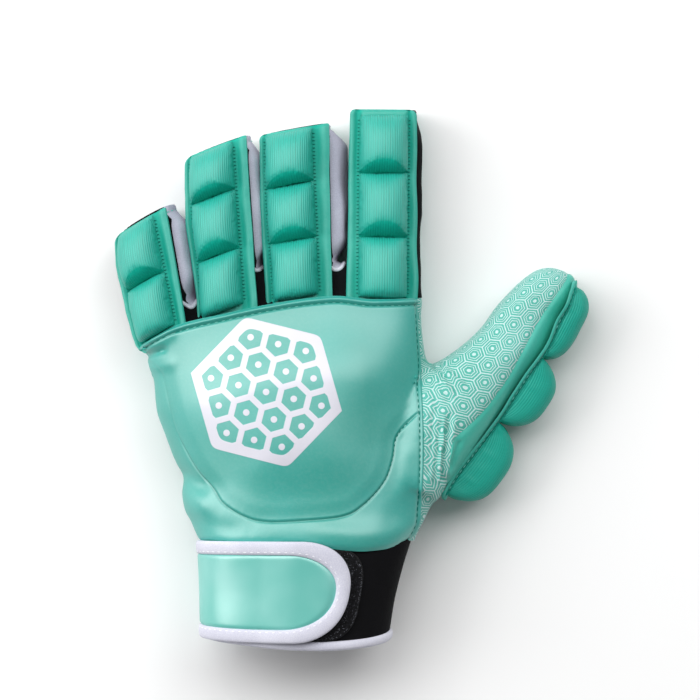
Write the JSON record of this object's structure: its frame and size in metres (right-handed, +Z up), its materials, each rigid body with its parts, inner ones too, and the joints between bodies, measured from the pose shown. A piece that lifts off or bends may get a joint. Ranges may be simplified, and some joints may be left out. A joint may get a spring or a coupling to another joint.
{
  "type": "field hockey glove",
  "caption": "Left-hand half-finger field hockey glove with foam pads along the fingers and thumb, a moulded back panel and a wrist strap with a touch fastener.",
  "frame": {"origin": "centre of the glove's box on the surface that it lies on, palm down", "axes": "+Z up, out of the back of the hand; +Y from the wrist to the fingers; +X towards the thumb"},
  "size_m": [0.172, 0.195, 0.0446],
  "materials": {
    "coated_cloth": "smooth satin coated cloth",
    "printed_cloth": "soft suede with a light printed lattice",
    "knit": "ribbed knit",
    "white_cloth": "matt stretch cloth",
    "lining": "matt stretch lining",
    "neoprene": "neoprene faced with jersey",
    "strap_face": "smooth moulded face",
    "loop_pile": "loop pile of a touch fastener"
  },
  "bodies": {
    "root": {"back_panel": "coated_cloth", "palm_panel": "printed_cloth", "thumb_front": "printed_cloth", "thumb_gusset": "coated_cloth", "fourchette_ring_little": "white_cloth", "fourchette_middle_ring": "white_cloth", "fourchette_index_middle": "white_cloth", "finger_lining": "lining", "index_strip": "coated_cloth", "index_pad_1": "knit", "index_pad_2": "knit", "index_pad_3": "knit", "middle_strip": "coated_cloth", "middle_pad_1": "knit", "middle_pad_2": "knit", "middle_pad_3": "knit", "ring_strip": "coated_cloth", "ring_pad_1": "knit", "ring_pad_2": "knit", "ring_pad_3": "knit", "little_strip": "coated_cloth", "little_pad_1": "knit", "little_pad_2": "knit", "thumb_strip": "coated_cloth", "thumb_pad_1": "knit", "thumb_pad_2": "knit", "thumb_pad_3": "knit", "cuff": "neoprene", "cuff_binding": "white_cloth", "wrist_strap": "strap_face", "strap_binding": "white_cloth", "loop_patch": "loop_pile"}
  },
  "joints": []
}
